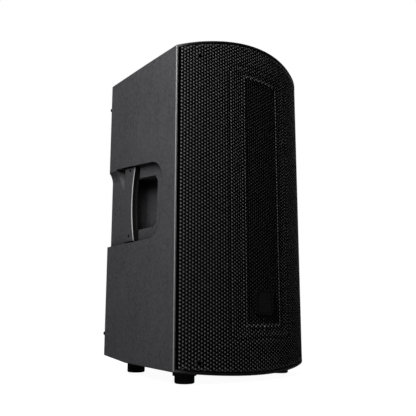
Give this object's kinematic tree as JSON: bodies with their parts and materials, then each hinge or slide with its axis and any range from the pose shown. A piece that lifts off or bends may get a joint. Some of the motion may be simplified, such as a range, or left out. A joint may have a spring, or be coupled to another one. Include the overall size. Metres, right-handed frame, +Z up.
{
  "type": "pa speaker cabinet",
  "caption": "Powered two-way loudspeaker cabinet: tapered moulded shell, bowed perforated grille, side grips, rear amplifier panel and pole socket.",
  "frame": {"origin": "floor level, in the middle of the overall width and depth", "axes": "+Z up, grille facing -Y, +X to the right when seen from the front"},
  "size_m": [0.3772, 0.3449, 0.6633],
  "materials": {
    "cabinet_plastic": "moulded, fine pebble grain",
    "baffle_plastic": "moulded, satin",
    "grille_steel": "powder coated, satin black",
    "badge_metal": "satin black with bright edge",
    "badge_face": "gloss black",
    "acoustic_foam": "open cell, matt black",
    "black_screw": "black oxide",
    "zinc_steel": "zinc plated",
    "grip_plastic": "moulded, fine grain",
    "foot_rubber": "matt",
    "socket_plastic": "moulded, satin",
    "cast_frame": "black coated casting",
    "surround_rubber": "doped cloth, semi-matt",
    "spider_cloth": "resin-stiffened cloth",
    "ferrite": "sintered",
    "titanium": "formed foil",
    "amp_paint": "black powder coat",
    "heat_sink_aluminium": "black anodised",
    "circuit_board": "solder mask",
    "brass": "turned",
    "connector_plastic": "moulded, satin",
    "rocker_plastic": "moulded, satin",
    "latch_plastic": "moulded",
    "knob_plastic": "moulded",
    "display_glass": "smoked window",
    "led_lens": "tinted lens",
    "cable_sheath": "soft PVC",
    "wadding": "polyester wadding",
    "cone_paper": "pressed pulp",
    "copper": "enamelled wire"
  },
  "bodies": {
    "cabinet": {"cabinet_shell": "cabinet_plastic", "front_baffle": "baffle_plastic", "baffle_screws": "black_screw", "grille": "grille_steel", "grille_foam": "acoustic_foam", "grille_screws": "black_screw", "badge_bezel": "badge_metal", "badge_plate": "badge_face", "handle_grip_right": "grip_plastic", "handle_grip_left": "grip_plastic", "handle_screws": "black_screw", "feet": "foot_rubber", "foot_screws": "zinc_steel", "rear_bumpers": "foot_rubber", "rear_bumper_screws": "black_screw", "pole_socket": "socket_plastic", "pole_socket_screws": "zinc_steel", "woofer_frame": "cast_frame", "woofer_gasket": "foot_rubber", "woofer_surround": "surround_rubber", "woofer_spider": "spider_cloth", "woofer_top_plate": "zinc_steel", "woofer_magnet": "ferrite", "woofer_pole_piece": "zinc_steel", "woofer_screws": "black_screw", "horn_waveguide": "baffle_plastic", "horn_screws": "black_screw", "driver_body": "cast_frame", "driver_diaphragm": "titanium", "driver_cover": "baffle_plastic", "driver_bolts": "zinc_steel", "port_tubes": "baffle_plastic", "amp_plate": "amp_paint", "amp_gasket": "acoustic_foam", "amp_screws": "black_screw", "heat_sink": "heat_sink_aluminium", "amp_board": "circuit_board", "power_supply_board": "circuit_board", "input_board": "circuit_board", "board_standoffs": "brass", "power_inlet": "connector_plastic", "power_switch_housing": "connector_plastic", "input_jack_left": "connector_plastic", "input_jack_right": "connector_plastic", "output_jack": "connector_plastic", "potentiometers": "zinc_steel", "display_window": "display_glass", "status_leds": "led_lens", "speaker_cables": "cable_sheath", "damping_pads": "wadding"},
    "woofer_motor": {"woofer_cone": "cone_paper", "woofer_dust_cap": "cone_paper", "voice_coil": "copper"},
    "power_rocker": {"power_rocker": "rocker_plastic"},
    "latch_left": {"jack_latch_left": "latch_plastic"},
    "latch_right": {"jack_latch_right": "latch_plastic"},
    "gain_left": {"gain_knob_left": "knob_plastic"},
    "gain_right": {"gain_knob_right": "knob_plastic"},
    "main_control": {"main_knob": "knob_plastic"},
    "mode_button": {"mode_button": "latch_plastic"}
  },
  "joints": [
    {"name": "woofer_excursion", "type": "slide", "parent": "cabinet", "child": "woofer_motor", "axis": [0, -1, 0], "range_m": [-0.006, 0.006], "stiffness_N_per_m": 3000, "deforming": ["woofer_surround", "woofer_spider"]},
    {"name": "rocker_tip", "type": "hinge", "parent": "cabinet", "child": "power_rocker", "pos_m": [0.035, 0.15246, 0.168], "axis": [1, 0, 0], "range_deg": [-20, 0]},
    {"name": "latch_left_press", "type": "slide", "parent": "cabinet", "child": "latch_left", "axis": [0, -1, 0], "range_m": [0, 0.0018]},
    {"name": "latch_right_press", "type": "slide", "parent": "cabinet", "child": "latch_right", "axis": [0, -1, 0], "range_m": [0, 0.0018]},
    {"name": "gain_left_turn", "type": "hinge", "parent": "cabinet", "child": "gain_left", "pos_m": [-0.055, 0.15446, 0.345], "axis": [0, 1, 0], "range_deg": [-150, 150]},
    {"name": "gain_right_turn", "type": "hinge", "parent": "cabinet", "child": "gain_right", "pos_m": [0.005, 0.15446, 0.345], "axis": [0, 1, 0], "range_deg": [-150, 150]},
    {"name": "main_turn", "type": "hinge", "parent": "cabinet", "child": "main_control", "pos_m": [0.06, 0.15446, 0.437], "axis": [0, 1, 0], "continuous": true},
    {"name": "mode_press", "type": "slide", "parent": "cabinet", "child": "mode_button", "axis": [0, -1, 0], "range_m": [0, 0.0015]}
  ]
}
